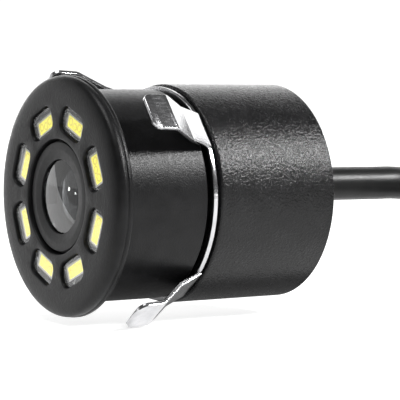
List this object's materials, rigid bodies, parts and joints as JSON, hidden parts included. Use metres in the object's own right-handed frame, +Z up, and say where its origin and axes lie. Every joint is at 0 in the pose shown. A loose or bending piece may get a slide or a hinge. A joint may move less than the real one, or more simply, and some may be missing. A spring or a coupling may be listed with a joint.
{
  "type": "flush-mount reversing camera",
  "caption": "Small round reversing camera for a drilled panel hole: flanged barrel with a dished lens and a ring of lamps, sprung steel wings behind the flange, and a cable with a plug.",
  "frame": {"origin": "on the ground, below the middle of the camera body; the camera stands on its lowest wing, with the coil of the pigtail on the ground behind it and the plug on the coil", "axes": "+Y along the optical axis from the flange towards the cable, so the camera looks along -Y; +Z up; +X to the side that the coil reaches further to"},
  "size_m": [0.043, 0.0776, 0.0207],
  "materials": {
    "satin_black": "satin black coating, fine even grain",
    "grain_black": "black crackle coating, coarse grain",
    "spring_steel": "bright rolled spring steel, lightly brushed",
    "black_moulding": "satin black moulding",
    "rubber": "matte black rubber",
    "clear_window": "clear polished plastic window",
    "lens_glass": "polished coated glass",
    "lamp_phosphor": "yellow phosphor in a white package",
    "circuit_board": "green solder mask",
    "chip_black": "black epoxy",
    "brass": "turned",
    "nickel": "nickel plated",
    "cable_jacket": "satin black flexible jacket",
    "white_nylon": "natural nylon",
    "core_red": "wire insulation",
    "core_black": "wire insulation",
    "core_yellow": "wire insulation",
    "core_white": "wire insulation"
  },
  "bodies": {
    "housing": {"front_housing": "satin_black", "rear_housing": "grain_black", "housing_seal": "rubber", "lens_barrel": "black_moulding", "front_lens": "lens_glass", "lens_spacer": "black_moulding", "middle_lens": "lens_glass", "rear_lens": "lens_glass", "lens_seal": "rubber", "infrared_filter": "lens_glass", "lens_holder": "black_moulding", "lamp_window": "clear_window", "lamp_board": "chip_black", "lamp_1": "lamp_phosphor", "lamp_2": "lamp_phosphor", "lamp_3": "lamp_phosphor", "lamp_4": "lamp_phosphor", "lamp_5": "lamp_phosphor", "lamp_6": "lamp_phosphor", "lamp_7": "lamp_phosphor", "lamp_8": "lamp_phosphor", "image_sensor": "chip_black", "sensor_board": "circuit_board", "main_board": "circuit_board", "video_chip": "chip_black", "board_header": "chip_black", "board_spacer_1": "brass", "board_screw_1": "nickel", "board_spacer_2": "brass", "board_screw_2": "nickel", "lamp_lead": "cable_jacket", "core_header": "white_nylon", "cable_core_1": "core_red", "cable_core_2": "core_black", "cable_core_3": "core_yellow", "cable_core_4": "core_white", "cable_grommet": "rubber", "cable_run": "cable_jacket", "cable_coil": "cable_jacket", "cable_tie": "black_moulding", "cable_tail": "cable_jacket", "plug_body": "black_moulding", "plug_shell": "nickel", "plug_insert": "black_moulding"},
    "clip": {"clip_ring": "spring_steel"},
    "wing_1": {"wing_1": "spring_steel"},
    "wing_2": {"wing_2": "spring_steel"},
    "wing_3": {"wing_3": "spring_steel"},
    "wing_4": {"wing_4": "spring_steel"}
  },
  "joints": [
    {"name": "clip_turn", "type": "hinge", "parent": "housing", "child": "clip", "pos_m": [0, -0.00328, 0.01035], "axis": [0, 1, 0], "continuous": true},
    {"name": "wing_1_flex", "type": "hinge", "parent": "clip", "child": "wing_1", "pos_m": [0.00713, -0.00358, 0.01568], "axis": [0.599, 0, -0.8007], "range_deg": [0, 22], "stiffness_Nm_per_rad": 0.05},
    {"name": "wing_2_flex", "type": "hinge", "parent": "clip", "child": "wing_2", "pos_m": [0.00533, -0.00358, 0.00322], "axis": [-0.8007, 0, -0.599], "range_deg": [0, 22], "stiffness_Nm_per_rad": 0.05},
    {"name": "wing_3_flex", "type": "hinge", "parent": "clip", "child": "wing_3", "pos_m": [-0.00713, -0.00358, 0.00502], "axis": [-0.599, 0, 0.8007], "range_deg": [0, 22], "stiffness_Nm_per_rad": 0.05},
    {"name": "wing_4_flex", "type": "hinge", "parent": "clip", "child": "wing_4", "pos_m": [-0.00533, -0.00358, 0.01748], "axis": [0.8007, 0, 0.599], "range_deg": [0, 22], "stiffness_Nm_per_rad": 0.05}
  ]
}
